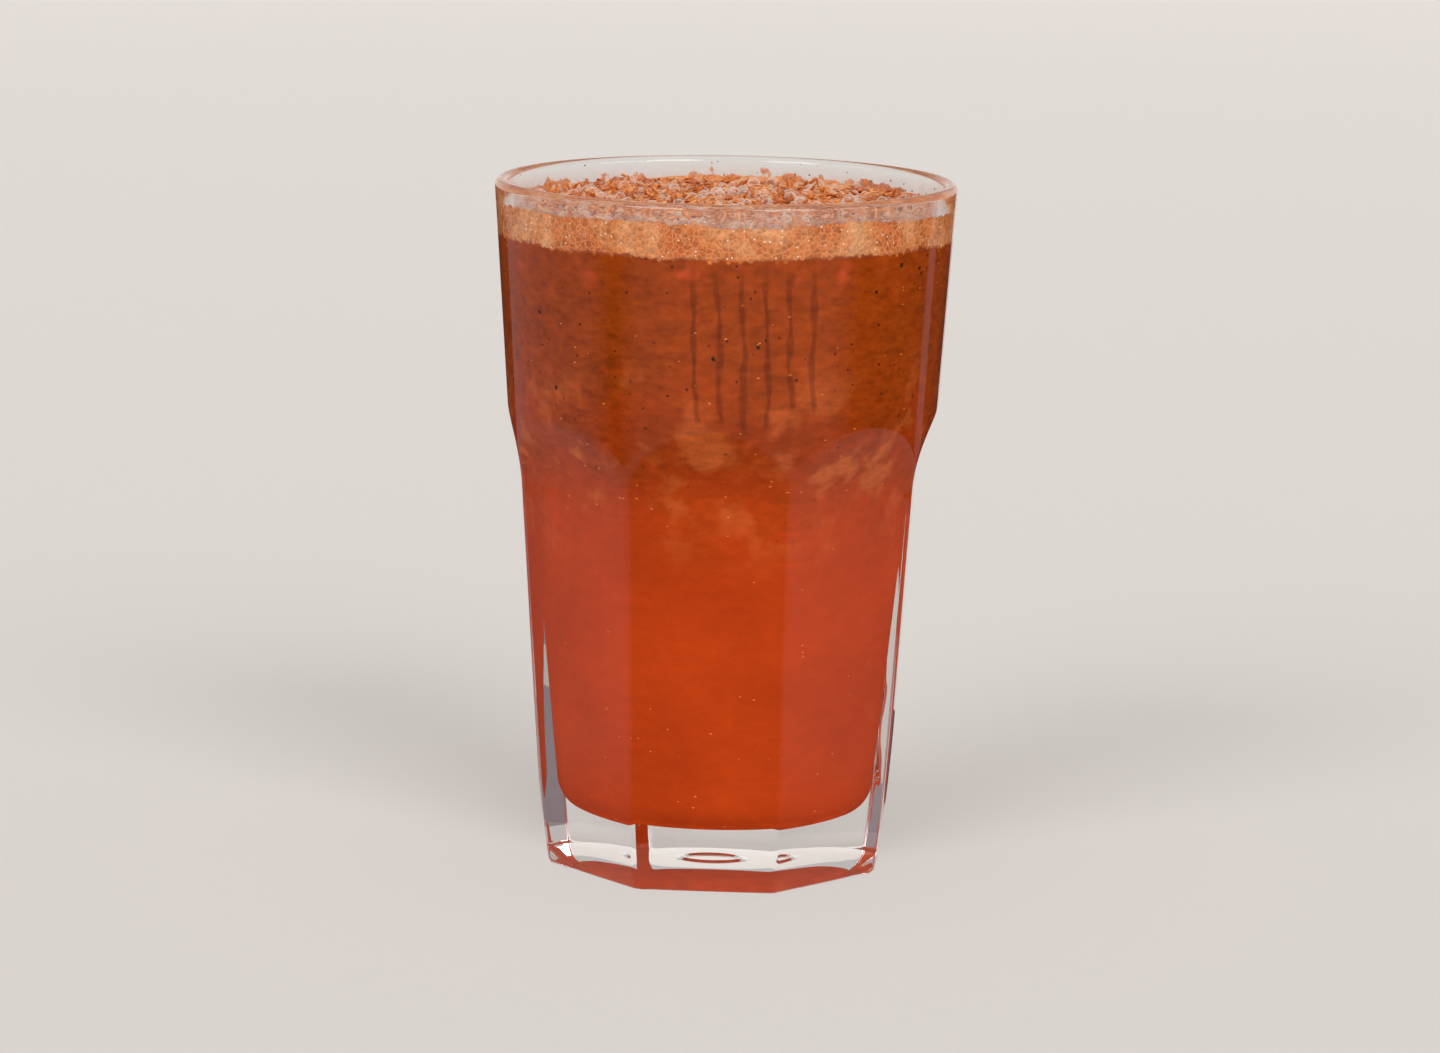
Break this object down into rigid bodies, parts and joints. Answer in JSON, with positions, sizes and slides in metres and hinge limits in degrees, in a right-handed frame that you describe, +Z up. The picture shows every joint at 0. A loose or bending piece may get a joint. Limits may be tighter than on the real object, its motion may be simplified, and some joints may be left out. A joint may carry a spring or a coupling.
{
  "type": "glass of fruit juice",
  "caption": "Tall clear pressed-glass tumbler with flat-sided lower part and a rounded lip, filled with red-orange juice, a darker pulpy layer and a froth head.",
  "frame": {"origin": "middle of the foot, on the plane that the glass stands on", "axes": "+Z up along the glass's axis; one of the flats faces -Y"},
  "size_m": [0.0836, 0.0836, 0.125],
  "materials": {
    "glass": "clear, fire-polished",
    "juice": "opaque liquid",
    "pulpy_juice": "opaque liquid with fine pulp",
    "froth": "fine wet bubbles with pulp shreds"
  },
  "bodies": {
    "root": {"tumbler": "glass", "juice": "juice", "pulp_layer": "pulpy_juice", "froth": "froth"}
  },
  "joints": []
}
